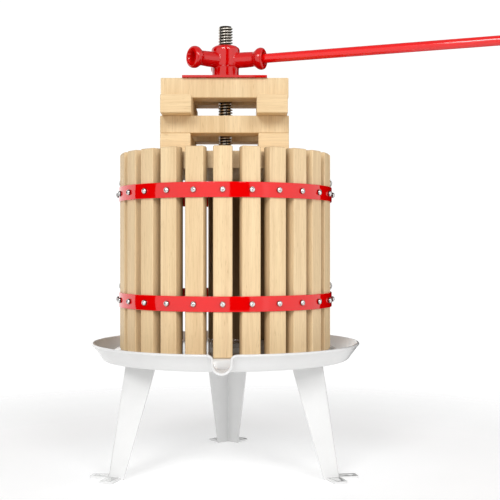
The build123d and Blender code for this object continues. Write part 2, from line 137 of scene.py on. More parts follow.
def add_bump(nodes, links, shader, height, strength, distance):
    bump = nodes.new("ShaderNodeBump")
    bump.inputs["Strength"].default_value = strength
    bump.inputs["Distance"].default_value = distance
    links.new(height, bump.inputs["Height"])
    links.new(bump.outputs["Normal"], shader.inputs["Normal"])


def number_range(nodes, links, source, low, high):
    """Map a 0 to 1 output to a range of numbers."""
    reach = nodes.new("ShaderNodeMapRange")
    reach.inputs["To Min"].default_value = low
    reach.inputs["To Max"].default_value = high
    links.new(source, reach.inputs["Value"])
    return reach.outputs["Result"]


def darken_inward(nodes, links, colour, start, end, shade):
    """Darken a colour inward, between two distances from the spindle in metres: painted shade inside the
    basket and at the screw heads' rims, and darker thread roots.
    """
    coordinates = nodes.new("ShaderNodeTexCoord")
    flat = nodes.new("ShaderNodeVectorMath")
    flat.operation = "MULTIPLY"
    flat.inputs[1].default_value = (1, 1, 0)
    length = nodes.new("ShaderNodeVectorMath")
    length.operation = "LENGTH"
    reach = nodes.new("ShaderNodeMapRange")
    reach.inputs["From Min"].default_value = start
    reach.inputs["From Max"].default_value = end
    links.new(coordinates.outputs["Object"], flat.inputs[0])
    links.new(flat.outputs["Vector"], length.inputs[0])
    links.new(length.outputs["Value"], reach.inputs["Value"])
    tint = colour_ramp(nodes, links, reach.outputs["Result"], [(0.0, shade), (1.0, (1, 1, 1))])
    return mix_colour(nodes, links, "MULTIPLY", 1.0, colour, tint.outputs["Color"])


def wood_material(name, along, light, dark, inner_shade=None):
    """Pale planed wood: fine fibres and broad bands that run along one axis, small pores, soft sheen."""
    material, nodes, links, shader = new_material(name)
    long_way = [0.035 if axis == along else 1.0 for axis in "xyz"]
    pore_way = [0.06 if axis == along else 1.0 for axis in "xyz"]
    piece_way = [0.1 if axis == along else 1.0 for axis in "xyz"]
    bands = object_noise(nodes, links, 95.0, 3.0, long_way)
    fibres = object_noise(nodes, links, 700.0, 3.0, long_way)
    pores = object_noise(nodes, links, 1300.0, 1.0, pore_way)
    pieces = object_noise(nodes, links, 14.0, 1.0, piece_way)
    middle = tuple((a + b) / 2 for a, b in zip(light, dark))
    base = colour_ramp(nodes, links, bands.outputs["Fac"], [(0.3, dark), (0.5, middle), (0.68, light)])
    colour = base.outputs["Color"]
    # noise, share of its shading, and the two ends of the shading
    shadings = (
        (fibres, 0.8, (0.3, (0.86, 0.84, 0.80)), (0.65, (1, 1, 1))),
        (pores, 0.7, (0.24, (0.72, 0.66, 0.58)), (0.36, (1, 1, 1))),
        (pieces, 1.0, (0.35, (0.94, 0.91, 0.87)), (0.62, (1, 1, 1))),
    )
    for noise, share, shaded, clear in shadings:
        shade = colour_ramp(nodes, links, noise.outputs["Fac"], [shaded, clear])
        colour = mix_colour(nodes, links, "MULTIPLY", share, colour, shade.outputs["Color"])
    # Painted shade: the colour darkens towards the inside of the basket.
    if inner_shade:
        colour = darken_inward(nodes, links, colour, INNER_SHADE_FROM, INNER_SHADE_TO, inner_shade)
    links.new(colour, shader.inputs["Base Color"])
    links.new(number_range(nodes, links, fibres.outputs["Fac"], 0.62, 0.46), shader.inputs["Roughness"])
    shader.inputs["Specular IOR Level"].default_value = 0.3
    add_bump(nodes, links, shader, fibres.outputs["Fac"], 0.25, 0.0002)
    return material


def paint_material(name, colour, shade, roughness, bump_scale, bump_strength, gloss=0.5):
    """Glossy enamel paint with a little orange peel and slight unevenness of colour and gloss."""
    material, nodes, links, shader = new_material(name)
    clouds = object_noise(nodes, links, 30.0, 3.0)
    peel = object_noise(nodes, links, bump_scale, 2.0)
    tone = colour_ramp(nodes, links, clouds.outputs["Fac"], [(0.3, shade), (0.7, colour)])
    links.new(tone.outputs["Color"], shader.inputs["Base Color"])
    links.new(number_range(nodes, links, clouds.outputs["Fac"], roughness * 0.7, roughness * 1.3),
              shader.inputs["Roughness"])
    shader.inputs["Specular IOR Level"].default_value = gloss
    add_bump(nodes, links, shader, peel.outputs["Fac"], bump_strength, 0.0003)
    return material


def metal_material(name, colour, shade, roughness, scale, root=None, root_r=0.0, crest_r=0.0):
    """Bare or plated metal with fine scratches and cloudy wear, and a darker colour nearer the spindle:
    darker thread roots, and painted shade with a painted red reflection at the screw heads' rims.
    """
    material, nodes, links, shader = new_material(name)
    clouds = object_noise(nodes, links, scale, 4.0)
    scratches = object_noise(nodes, links, scale * 12.0, 2.0)
    tone = colour_ramp(nodes, links, clouds.outputs["Fac"], [(0.35, shade), (0.65, colour)]).outputs["Color"]
    if root:
        tone = darken_inward(nodes, links, tone, root_r, crest_r, root)
    links.new(tone, shader.inputs["Base Color"])
    links.new(number_range(nodes, links, scratches.outputs["Fac"], roughness * 0.7, roughness * 1.5),
              shader.inputs["Roughness"])
    shader.inputs["Metallic"].default_value = 1.0
    add_bump(nodes, links, shader, scratches.outputs["Fac"], 0.08, 0.0001)
    return material


PALE, TAN = (0.90, 0.70, 0.43), (0.80, 0.59, 0.35)
# The slats get a painted shade on their inner faces and the inner halves of their sides.
SLAT_WOOD = wood_material("slat_wood", "z", PALE, TAN, (0.34, 0.28, 0.2))
BEAM_WOOD = wood_material("beam_wood", "z", (0.88, 0.69, 0.43), (0.76, 0.56, 0.32))
BLOCK_WOOD = wood_material("block_wood", "x", (0.90, 0.70, 0.43), (0.82, 0.61, 0.36))
BOARD_WOOD = wood_material("board_wood", "y", PALE, TAN)
HOOP_RED = paint_material("hoop_red", (0.80, 0.0006, 0.001), (0.76, 0.0005, 0.0008), 0.06, 900.0, 0.01, 0.8)
CAST_RED = paint_material("cast_red", (0.66, 0.002, 0.002), (0.58, 0.001, 0.001), 0.05, 350.0, 0.05, 0.8)
LEVER_RED = paint_material("lever_red", (0.84, 0.002, 0.002), (0.80, 0.001, 0.001), 0.08, 500.0, 0.03, 0.8)
WHITE_ENAMEL = paint_material("white_enamel", (0.80, 0.80, 0.795), (0.77, 0.77, 0.765), 0.12, 120.0, 0.05)
THREAD_STEEL = metal_material("thread_steel", (0.62, 0.58, 0.52), (0.48, 0.44, 0.38), 0.2, 80.0,
                              (0.06, 0.05, 0.04), 0.0076, 0.0098)
PLATED_STEEL = metal_material("plated_steel", (0.80, 0.81, 0.83), (0.66, 0.67, 0.69), 0.12, 150.0)
# The screw heads darken to a dark red towards their seats: painted shade and a painted reflection of the red
# hoops.
SCREW_STEEL = metal_material("screw_steel", (0.92, 0.91, 0.90), (0.80, 0.79, 0.78), 0.07, 400.0,
                             (0.10, 0.03, 0.03), 0.1525, 0.1542)


# ---- Mesh building -------------------------------------------------------------------------------

def polar(radius, angle, z=0.0):
    """Point in metres from a radius and height in millimetres and a polar angle in degrees."""
    return Vector((radius * cos(radians(angle)), radius * sin(radians(angle)), z)) * MM


def mesh_piece(name, vertices, faces, material, smooth=True):
    mesh = bpy.data.meshes.new(name)
    mesh.from_pydata([tuple(v) for v in vertices], [], faces)
    piece = bpy.data.objects.new(name, mesh)
    scene.collection.objects.link(piece)
    mesh.materials.append(material)
    clean = bmesh.new()
    clean.from_mesh(mesh)
    bmesh.ops.recalc_face_normals(clean, faces=clean.faces)
    clean.to_mesh(mesh)
    clean.free()
    for face in mesh.polygons:
        face.use_smooth = smooth
    return piece


def apply_modifiers(piece):
    """Replace the piece's mesh with the one its modifiers give."""
    graph = bpy.context.evaluated_depsgraph_get()
    final = bpy.data.meshes.new_from_object(piece.evaluated_get(graph))
    piece.modifiers.clear()
    old = piece.data
    piece.data = final
    bpy.data.meshes.remove(old)
    return piece


def bevelled(piece, width, segments=3, angle=35.0):
    """Round every sharp edge, with flat faces kept flat."""
    modifier = piece.modifiers.new("edges", "BEVEL")
    modifier.width = width * MM
    modifier.segments = segments
    modifier.limit_method = "ANGLE"
    modifier.angle_limit = radians(angle)
    modifier.harden_normals = True
    return apply_modifiers(piece)


def lathe(name, outline, material, segments=192, frame_matrix=None):
    """Turn a closed outline of (radius, height) points about the height axis."""
    count = len(outline)
    vertices, faces = [], []
    for step in range(segments):
        turn = 2 * pi * step / segments
        vertices += [Vector((r * cos(turn), r * sin(turn), h)) * MM for r, h in outline]
    for step in range(segments):
        here, there = step * count, (step + 1) % segments * count
        for point in range(count):
            after = (point + 1) % count
            faces.append((here + point, there + point, there + after, here + after))
    piece = mesh_piece(name, vertices, faces, material)
    if frame_matrix is not None:
        piece.data.transform(frame_matrix)
    merge_doubles(piece)
    return piece


def merge_doubles(piece, distance=1e-6):
    work = bmesh.new()
    work.from_mesh(piece.data)
    bmesh.ops.remove_doubles(work, verts=work.verts, dist=distance)
    bmesh.ops.dissolve_degenerate(work, dist=distance, edges=work.edges)
    bmesh.ops.recalc_face_normals(work, faces=work.faces)
    work.to_mesh(piece.data)
    work.free()


def prism(name, outline, low, high, material, holes=()):
    """Upright plate from a flat outline and round holes ((x, y), radius), between two heights."""
    curve = bpy.data.curves.new(name, "CURVE")
    curve.dimensions = "2D"
    curve.fill_mode = "BOTH"
    curve.extrude = (high - low) / 2 * MM
    loops = [outline] + [circle_points(centre, radius, 48) for centre, radius in holes]
    for loop in loops:
        spline = curve.splines.new("POLY")
        spline.points.add(len(loop) - 1)
        for point, (x, y) in zip(spline.points, loop):
            point.co = (x * MM, y * MM, 0, 1)
        spline.use_cyclic_u = True
    source = bpy.data.objects.new(name + "_outline", curve)
    scene.collection.objects.link(source)
    bpy.context.view_layer.update()
    mesh = bpy.data.meshes.new_from_object(source.evaluated_get(bpy.context.evaluated_depsgraph_get()))
    bpy.data.objects.remove(source)
    mesh.name = name
    mesh.transform(Matrix.Translation((0, 0, (low + high) / 2 * MM)))
    mesh.materials.clear()
    mesh.materials.append(material)
    piece = bpy.data.objects.new(name, mesh)
    scene.collection.objects.link(piece)
    merge_doubles(piece)
    return piece


def circle_points(centre, radius, count):
    return [(centre[0] + radius * cos(2 * pi * k / count), centre[1] + radius * sin(2 * pi * k / count))
            for k in range(count)]


def rounded_rectangle(x0, x1, y0, y1, radius, steps=6):
    """Outline of a rectangle with round corners."""
    points = []
    corners = ((x1 - radius, y1 - radius, 0), (x0 + radius, y1 - radius, 90),
               (x0 + radius, y0 + radius, 180), (x1 - radius, y0 + radius, 270))
    for cx, cy, start in corners:
        for step in range(steps + 1):
            turn = radians(start + 90.0 * step / steps)
            points.append((cx + radius * cos(turn), cy + radius * sin(turn)))
    return points


def sweep(name, path, radius, material, sides=12, closed=False):
    """Round tube of a radius in millimetres along points in metres."""
    vertices, faces = [], []
    count = len(path)
    side = None
    for index, point in enumerate(path):
        before = path[index - 1] if index or closed else point
        after = path[(index + 1) % count] if index < count - 1 or closed else point
        along = (after - before).normalized()
        if side is None:
            side = along.orthogonal().normalized()
        side = (side - along * side.dot(along)).normalized()
        up = along.cross(side)
        for step in range(sides):
            turn = 2 * pi * step / sides
            vertices.append(point + (side * cos(turn) + up * sin(turn)) * radius * MM)
    for index in range(count if closed else count - 1):
        here, there = index * sides, (index + 1) % count * sides
        for step in range(sides):
            after = (step + 1) % sides
            faces.append((here + step, here + after, there + after, there + step))
    if not closed:
        faces.append(tuple(range(sides)))
        faces.append(tuple(range((count - 1) * sides, count * sides)))
    return mesh_piece(name, vertices, faces, material)


def join(name, pieces):
    """Make one object of several, in their order."""
    work = bmesh.new()
    for piece in pieces:
        work.from_mesh(piece.data)
    mesh = bpy.data.meshes.new(name)
    work.to_mesh(mesh)
    work.free()
    mesh.materials.append(pieces[0].data.materials[0])
    for piece in pieces:
        bpy.data.objects.remove(piece)
    joined = bpy.data.objects.new(name, mesh)
    scene.collection.objects.link(joined)
    return joined


def cut(piece, *tools):
    """Take the tools' volume away from the piece."""
    for tool in tools:
        modifier = piece.modifiers.new("cut", "BOOLEAN")
        modifier.operation = "DIFFERENCE"
        modifier.solver = "EXACT"
        modifier.object = tool
        bpy.context.view_layer.update()
        apply_modifiers(piece)
        bpy.data.objects.remove(tool)
    return piece


def outward(angle, radius=0.0, z=0.0):
    """Matrix whose z axis points outward at the polar angle and whose x axis points up."""
    out = Vector((cos(radians(angle)), sin(radians(angle)), 0))
    up = Vector((0, 0, 1))
    matrix = Matrix((up, out.cross(up), out)).transposed().to_4x4()
    matrix.translation = polar(radius, angle, z)
    return matrix


def place(piece, body, slot, *nodes):
    """The piece rides on the body and stands for the nodes, which it hides; the slot is not used."""
    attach(piece, body)
    if nodes:
        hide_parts(*nodes)
    return piece


# ---- Basket --------------------------------------------------------------------------------------

def slat_angle(number):
    return -90.0 + (number - 1) * 360.0 / SLAT_COUNT


def build_slat(number):
    name = f"slat_{number:02d}"
    low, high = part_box(name)
    box = mesh_piece("planed_" + name, *box_mesh(
        SLAT_OUTER - SLAT_THICKNESS, SLAT_OUTER, -SLAT_WIDTH / 2, SLAT_WIDTH / 2, low.z / MM, high.z / MM
    ), SLAT_WOOD)
    box.data.transform(Matrix.Rotation(radians(slat_angle(number)), 4, "Z"))
    bevelled(box, SLAT_EDGE, 1)
    place(box, "basket", "beech_wood", name)


def box_mesh(x0, x1, y0, y1, z0, z1):
    corners = [Vector((x, y, z)) * MM for x in (x0, x1) for y in (y0, y1) for z in (z0, z1)]
    return corners, [(0, 1, 3, 2), (4, 6, 7, 5), (0, 4, 5, 1), (2, 3, 7, 6), (0, 2, 6, 4), (1, 5, 7, 3)]


def strip_outline(half_thickness, half_height, edge):
    """Section of a flat strip with rounded edges, as (offset, height)."""
    return rounded_rectangle(-half_thickness, half_thickness, -half_height, half_height, edge, 3)


def hoop_strip(name, middle, reach, low, high, material):
    """Curved strip between two azimuth ends, with rounded edges."""
    steps = max(4, int(reach * 2 / 1.2))
    outline = [(HOOP_INNER + HOOP_SHEET / 2 + dx, (low + high) / 2 + dz)
               for dx, dz in strip_outline(HOOP_SHEET / 2, (high - low) / 2, 0.5)]
    count = len(outline)
    vertices, faces = [], []
    for step in range(steps + 1):
        angle = middle - reach + 2 * reach * step / steps
        vertices += [polar(r, angle, z) for r, z in outline]
    for step in range(steps):
        for point in range(count):
            after = (point + 1) % count
            faces.append((step * count + point, step * count + after,
                          (step + 1) * count + after, (step + 1) * count + point))
    faces.append(tuple(range(count)))
    faces.append(tuple(range(steps * count, (steps + 1) * count)))
    return mesh_piece(name, vertices, faces, material)


def build_hoop(level, side, middle, reach, knuckles):
    """Half hoop: the strip, and at each end its rolled knuckles."""
    centre = HOOP_CENTRES[level]
    low = centre - HOOP_HEIGHT / 2
    relief = degrees((KNUCKLE_R + KNUCKLE_GAP) / HOOP_INNER)
    height = (HOOP_HEIGHT - 2 * KNUCKLE_GAP) / 3
    axis_r = HOOP_INNER + HOOP_SHEET - KNUCKLE_R
    parts = [hoop_strip("strip", middle, reach - relief, low, low + HOOP_HEIGHT, HOOP_RED)]
    for index in knuckles:
        bottom = low + index * (height + KNUCKLE_GAP)
        for end in (-1, 1):
            angle = middle + end * reach
            tongue_middle = angle - end * relief / 2
            parts.append(hoop_strip("tongue", tongue_middle, relief / 2 + 0.3, bottom, bottom + height,
                                    HOOP_RED))
            bore, edge = PIN_R + PIN_CLEARANCE, KNUCKLE_EDGE
            outline = [(bore, bottom + edge), (bore + edge, bottom), (KNUCKLE_R - edge, bottom),
                       (KNUCKLE_R, bottom + edge), (KNUCKLE_R, bottom + height - edge),
                       (KNUCKLE_R - edge, bottom + height), (bore + edge, bottom + height),
                       (bore, bottom + height - edge)]
            parts.append(lathe("knuckle", outline, HOOP_RED, 32, Matrix.Translation(polar(axis_r, angle))))
    hoop = join(f"painted_{level}_hoop_{side}", parts)
    smooth_by_angle(hoop)
    place(hoop, "basket", "red_paint", f"{level}_hoop_{side}")


def smooth_by_angle(piece, angle=35.0):
    """Smooth shading with sharp edges where the surface turns by more than the angle."""
    for face in piece.data.polygons:
        face.use_smooth = True
    work = bmesh.new()
    work.from_mesh(piece.data)
    for edge in work.edges:
        edge.smooth = len(edge.link_faces) == 2 and edge.calc_face_angle(0.0) < radians(angle)
    work.to_mesh(piece.data)
    work.free()


def screw_head():
    """Domed screw head with a slot, seat at z = 0, pointing along +z."""
    dome = [(0.01, SCREW_HEAD_HEIGHT)]
    for step in range(1, 11):
        turn = radians(9.0 * step)
        dome.append((SCREW_HEAD_R * sin(turn),
                     SCREW_HEAD_RIM + (SCREW_HEAD_HEIGHT - SCREW_HEAD_RIM) * cos(turn)))
    dome += [(SCREW_HEAD_R, 0.35), (SCREW_HEAD_R - 0.3, 0.0), (0.01, 0.0)]
    head = lathe("head", dome, SCREW_STEEL, 40)
    slot_box = box_mesh(-4.5, 4.5, -SCREW_SLOT_HALF, SCREW_SLOT_HALF,
                        SCREW_HEAD_HEIGHT - SCREW_SLOT_DEPTH, SCREW_HEAD_HEIGHT + 1)
    cut(head, mesh_piece("driver_slot", *slot_box, SCREW_STEEL))
    return head


def build_screws():
    pattern = screw_head()
    seat = HOOP_INNER + HOOP_SHEET + 0.03
    for side in ("front", "rear"):
        work = bmesh.new()
        for number in range(1, SLAT_COUNT + 1):
            is_front = cos(radians(slat_angle(number) + 90)) > cos(radians(SEAM_AZIMUTH))
            if is_front != (side == "front"):
                continue
            for level, centre in HOOP_CENTRES.items():
                spin = Matrix.Rotation(radians(14.0 * sin(number * 2.4 + centre)), 4, "Z")
                mesh = pattern.data.copy()
                mesh.transform(outward(slat_angle(number), seat, centre) @ spin)
                work.from_mesh(mesh)
                bpy.data.meshes.remove(mesh)
        mesh = bpy.data.meshes.new(f"plated_{side}_screws")
        work.to_mesh(mesh)
        work.free()
        mesh.materials.append(SCREW_STEEL)
        screws = bpy.data.objects.new(f"plated_{side}_screws", mesh)
        scene.collection.objects.link(screws)
        smooth_by_angle(screws, 30.0)
        place(screws, "basket", "zinc_steel", f"{side}_slat_screws")
    bpy.data.objects.remove(pattern)


def build_pin(level, side, azimuth):
    """Lock pin with a shoulder and a pull ring."""
    name = f"{level}_{side}_pin"
    centre = HOOP_CENTRES[level]
    angle = -90.0 + azimuth
    axis_r = HOOP_INNER + HOOP_SHEET - KNUCKLE_R
    shoulder = centre + HOOP_HEIGHT / 2
    low, top = centre - HOOP_HEIGHT / 2 - PIN_OVERHANG, shoulder + PIN_OVERHANG
    outline = [
        (0.01, low), (PIN_R - 0.7, low), (PIN_R - 0.1, low + 0.8), (PIN_R, low + 1.5), (PIN_R, shoulder),
        (PIN_SHOULDER_R - 0.2, shoulder), (PIN_SHOULDER_R, shoulder + 0.3), (PIN_SHOULDER_R, shoulder + 1.2),
        (PIN_SHOULDER_R - 0.3, shoulder + 1.5), (PIN_R, shoulder + 1.6), (PIN_R, top - 0.8),
        (PIN_R - 0.8, top), (0.01, top),
    ]
    stem = lathe("stem", outline, PLATED_STEEL, 32, Matrix.Translation(polar(axis_r, angle)))
    middle = polar(axis_r, angle, top + PIN_RING_R - 1.0)
    out = polar(1000.0, angle)
    up = Vector((0, 0, 1))
    path = []
    for step in range(40):
        turn = 2 * pi * step / 40
        path.append(middle + (out * cos(turn) + up * sin(turn)) * PIN_RING_R * MM)
    ring = sweep("ring", path, PIN_WIRE_R, PLATED_STEEL, 14, closed=True)
    pin = join(f"plated_{name}", [stem, ring])
    smooth_by_angle(pin, 40.0)
    place(pin, name + "_body", "zinc_steel", name)


# ---- Tray ----------------------------------------------------------------------------------------

def fillet_path(points, radii, steps=8):
    """Open flat path with its inner corners rounded."""
    path = [Vector(points[0])]
    for before, corner, after, radius in zip(points, points[1:], points[2:], radii):
        before, corner, after = Vector(before), Vector(corner), Vector(after)
        one, two = (before - corner).normalized(), (after - corner).normalized()
        half = one.angle(two) / 2
        reach = radius / abs(sin(half) / cos(half))
        start, end = corner + one * reach, corner + two * reach
        for step in range(steps + 1):
            share = step / steps
            path.append(start * (1 - share) ** 2 + corner * 2 * share * (1 - share) + end * share ** 2)
    path.append(Vector(points[-1]))
    return path


def offset_path(path, amount):
    """Flat path moved sideways by an amount, to its left."""
    moved = []
    for index, point in enumerate(path):
        before = path[max(index - 1, 0)]
        after = path[min(index + 1, len(path) - 1)]
        along = (after - before).normalized()
        moved.append(point + Vector((-along.y, along.x)) * amount)
    return moved


def tray_section():
    """Closed section of the pressed sheet, with the rolled rim as a round bead."""
    half = TRAY_SHEET / 2
    floor, seat = TRAY_BOTTOM + half, SEAT_TOP - half
    bead = Vector((RIM_R - RIM_BEAD, RIM_TOP - RIM_BEAD))
    points = ((SPINDLE_R + 0.5, seat), (SEAT_R, seat), (GUTTER_R[0], floor), (GUTTER_R[1], floor), WALL_KNEE,
              tuple(bead))
    middle = fillet_path(points, TRAY_BENDS)
    fine = [middle[0], middle[0].lerp(middle[1], 0.5)] + middle[1:]
    upper, lower = offset_path(fine, half), offset_path(fine, -half)
    toward = (fine[-1] - fine[-2]).normalized()
    start = atan2(toward.y, toward.x)
    bow = []
    for step in range(13):
        turn = start + pi * (0.72 - 1.44 * step / 12)
        bow.append(bead + Vector((cos(turn), sin(turn))) * RIM_BEAD)
    return [tuple(p) for p in upper[:-1] + bow + lower[:-1][::-1]]


def spout_lip_y(z):
    """How far out the lip of the spout stands at a height."""
    share = min(max((RIM_TOP - z) / (RIM_TOP - SPOUT_TIP_Z), 0.0), 1.0)
    return -(RIM_R - RIM_BEAD) + (SPOUT_TIP_Y + SPOUT_TIP_INSET + RIM_R - RIM_BEAD) * share


def spout_section():
    """Half of the trough's middle line seen from the front, from the shoulder down to the bottom: (x, z)."""
    centre_x, centre_z = SPOUT_R + SPOUT_SHOULDER_R, RIM_TOP - RIM_BEAD - SPOUT_SHOULDER_R
    points = []
    for step in range(9):
        turn = radians(90.0 - 90.0 * step / 8)
        points.append((centre_x - SPOUT_SHOULDER_R * cos(turn), centre_z + SPOUT_SHOULDER_R * sin(turn)))
    for step in range(17):
        turn = radians(90.0 * step / 16)
        points.append((SPOUT_R * cos(turn), SPOUT_Z - SPOUT_R * sin(turn)))
    return points


def wall_radius(z):
    """How far from the spindle the tray's wall stands at a height, above and below its knee."""
    knee_r, knee_z = WALL_KNEE
    upper_slope, lower_slope = 0.55, 0.6
    if z > knee_z:
        return knee_r + upper_slope * (min(z, RIM_TOP - 2.0) - knee_z)
    return GUTTER_R[1] + 1.5 + lower_slope * (z - TRAY_BOTTOM - 2.0)


def build_tray():
    sheet = lathe("sheet", tray_section(), WHITE_ENAMEL, 360)
    half = spout_section()
    line = [(-x, z) for x, z in half] + half[-2::-1]
    opening_line = [(x, z + 0.4) for x, z in line]
    shoulder_x = half[0][0]
    above = [(shoulder_x, RIM_TOP + 8), (-shoulder_x, RIM_TOP + 8)]
    cut(sheet, mesh_piece("opening", *extruded(opening_line + above, -171.0, -230.0), WHITE_ENAMEL))

    # Trough sheet between the tray's wall and the sloping lip
    thick = TRAY_SHEET / 2
    flat = [Vector(p) for p in line]
    inner, outer = offset_path(flat, thick), offset_path(flat, -thick)
    vertices, faces = [], []
    steps = 8
    for index, (x, z) in enumerate(line):
        start = -sqrt(wall_radius(z) ** 2 - x * x) + 1.0
        end = min(spout_lip_y(z), start - 0.5)
        for side in (inner, outer):
            for step in range(steps + 1):
                y = start + (end - start) * step / steps
                vertices.append(Vector((side[index].x, y, side[index].y)) * MM)
    row = steps + 1
    for index in range(len(line) - 1):
        a, b = index * 2 * row, (index + 1) * 2 * row
        for step in range(steps):
            faces.append((a + step, a + step + 1, b + step + 1, b + step))
            faces.append((a + row + step, b + row + step, b + row + step + 1, a + row + step + 1))
        faces.append((a, b, b + row, a + row))
        faces.append((a + steps, a + row + steps, b + row + steps, b + steps))
    last = (len(line) - 1) * 2 * row
    for start_index in (0, last):
        for step in range(steps):
            faces.append((start_index + step, start_index + step + 1,
                          start_index + row + step + 1, start_index + row + step))
    trough = mesh_piece("trough", vertices, faces, WHITE_ENAMEL)

    # Rolled lip that carries the rim's bead round the spout
    lip_path = []
    for side in (-1, 1):
        run = []
        for x, z in half:
            run.append(Vector((side * x, spout_lip_y(z), z)) * MM)
        edge = degrees(shoulder_x / (RIM_R - RIM_BEAD))
        lead = [polar(RIM_R - RIM_BEAD, -90.0 + side * (edge + extra), RIM_TOP - RIM_BEAD)
                for extra in (2.0, 1.0, 0.3)]
        run = lead + run[1:]
        lip_path += run if side == -1 else run[-2::-1]
    lip = sweep("lip", lip_path, RIM_BEAD * 0.98, WHITE_ENAMEL, 16)
    tray = join("enamelled_tray", [sheet, trough, lip])
    smooth_by_angle(tray, 40.0)
    place(tray, "base", "white_enamel", "tray")


def extruded(outline, start, end):
    """Vertices and faces of an (x, z) outline pushed along y."""
    count = len(outline)
    vertices = [Vector((x, y, z)) * MM for y in (start, end) for x, z in outline]
    faces = [tuple(range(count)), tuple(range(2 * count - 1, count - 1, -1))]
    faces += [(k, (k + 1) % count, count + (k + 1) % count, count + k) for k in range(count)]
    return vertices, faces


# ---- Legs ----------------------------------------------------------------------------------------

def angle_section(apex, depth, half_width, bend=5.0):
    """Closed outline of the angle section, its bend rounded: apex at +x."""
    outer = fillet_path(((apex - depth, -half_width), (apex, 0.0), (apex - depth, half_width)), (bend,), 8)
    inner = offset_path(outer, LEG_SHEET)
    return outer + inner[::-1]


def build_leg(name, angle):
    levels = [0.0, 3.0, 6.0] + [12.0 + 14.0 * k for k in range(12)] + [LEG_HEIGHT]
    vertices, faces = [], []
    for z in levels:
        share = z / LEG_HEIGHT
        section = angle_section(*[LEG_FOOT[size] + (LEG_TOP[size] - LEG_FOOT[size]) * share
                                  for size in ("apex", "depth", "half_width")])
        vertices += [Vector((p.x, p.y, z)) * MM for p in section]
    count = len(vertices) // len(levels)
    for level in range(len(levels) - 1):
        a, b = level * count, (level + 1) * count
        for k in range(count):
            after = (k + 1) % count
            faces.append((a + k, a + after, b + after, b + k))
    faces.append(tuple(range(count)))
    faces.append(tuple(range((len(levels) - 1) * count, len(levels) * count)))
    channel = bevelled(mesh_piece("channel", vertices, faces, WHITE_ENAMEL), 0.6, 2, 50.0)

    lean = atan2(LEG_FOOT["depth"], LEG_FOOT["half_width"])
    out = FOOT_HOLE["outward"] * cos(lean) + FOOT_HOLE["sideways"] * sin(lean)
    along = FOOT_HOLE["sideways"] * cos(lean) - FOOT_HOLE["outward"] * sin(lean)
    start = LEG_FOOT["apex"] * cos(lean) - 0.8 * LEG_SHEET
    ear = FOOT_HOLE["ear"]
    parts = [channel]
    for side in (-1, 1):
        ear_line = rounded_rectangle(start, out + ear / 2, side * along - ear / 2, side * along + ear / 2,
                                     3.0)
        holes = [((out, side * along), FOOT_HOLE["radius"])]
        plate = prism("ear", ear_line, 0.0, LEG_SHEET, WHITE_ENAMEL, holes)
        plate.data.transform(Matrix.Rotation(side * lean, 4, "Z"))
        parts.append(bevelled(plate, 0.5, 2))
    tab_line = rounded_rectangle(LEG_TAB["inner"], LEG_TAB["outer"], -LEG_TAB["half_width"],
                                 LEG_TAB["half_width"], 3.0)
    holes = [((LEG_BOLT["outward"], side * LEG_BOLT["sideways"]), LEG_BOLT["radius"]) for side in (-1, 1)]
    tab = prism("tab", tab_line, LEG_HEIGHT - LEG_SHEET, LEG_HEIGHT, WHITE_ENAMEL, holes)
    parts.append(bevelled(tab, 0.5, 2))
    leg = join("enamelled_" + name, parts)
    leg.data.transform(Matrix.Rotation(radians(angle), 4, "Z"))
    smooth_by_angle(leg, 40.0)
    place(leg, "base", "white_enamel", name)


# ---- Spindle -------------------------------------------------------------------------------------

def build_spindle():
    """Trapezoidal thread as one helical skin between the two ends."""
    low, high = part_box("spindle")
    low, high = low.z / MM, high.z / MM
    around = 40
    # rise and depth at the ends of the crest and of the root, within one pitch
    half_flat, flank = THREAD_FLATS * THREAD_PITCH / 4, (1 - THREAD_FLATS) * THREAD_PITCH / 2
    teeth = [(0.0, 0.0), (2 * half_flat, 0.0), (2 * half_flat + flank, THREAD_DEPTH),
             (4 * half_flat + flank, THREAD_DEPTH)]
    rows = []
    turns = int((high - low) / THREAD_PITCH) + 3
    for turn in range(turns):
        rows += [(low - THREAD_PITCH + turn * THREAD_PITCH + rise, depth) for rise, depth in teeth]
    vertices, faces = [], []
    end_chamfer, end_reach = 1.3, 2.0
    for rise, depth in rows:
        for step in range(around):
            share = step / around
            z = min(max(rise + share * THREAD_PITCH, low), high)
            taper = min(1.0, (z - low) / end_reach, (high - z) / end_reach)
            radius = SPINDLE_R - max(depth, end_chamfer * (1 - taper))
            vertices.append(Vector((radius * cos(2 * pi * share), radius * sin(2 * pi * share), z)) * MM)
    count = len(rows)
    per_turn = len(teeth)
    for row in range(count - 1):
        for step in range(around - 1):
            a, b = row * around + step, (row + 1) * around + step
            faces.append((a, a + 1, b + 1, b))
        if row + per_turn + 1 < count:
            a, b = row * around + around - 1, (row + 1) * around + around - 1
            c, d = (row + per_turn) * around, (row + 1 + per_turn) * around
            faces.append((a, c, d, b))
    skin = mesh_piece("threaded_spindle", vertices, faces, THREAD_STEEL)
    work = bmesh.new()
    work.from_mesh(skin.data)
    bmesh.ops.remove_doubles(work, verts=work.verts, dist=1e-6)
    bmesh.ops.dissolve_degenerate(work, dist=1e-6, edges=work.edges)
    bmesh.ops.holes_fill(work, edges=[e for e in work.edges if e.is_boundary], sides=0)
    bmesh.ops.recalc_face_normals(work, faces=work.faces)
    work.to_mesh(skin.data)
    work.free()
    smooth_by_angle(skin, 30.0)
    place(skin, "base", "spindle_steel", "spindle")


def finish_fixings():
    """Collar, washer, nut, bolts, leg washers and nuts keep their CAD shapes and get metal finishes."""
    for name, material in (("spindle_collar", THREAD_STEEL), ("spindle_washer", PLATED_STEEL),
                           ("spindle_nut", PLATED_STEEL), ("leg_bolts", PLATED_STEEL),
                           ("leg_washers", PLATED_STEEL), ("leg_nuts", PLATED_STEEL)):
        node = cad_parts[name]
        node.data.materials.clear()
        node.data.materials.append(material)


# ---- Press stack ---------------------------------------------------------------------------------

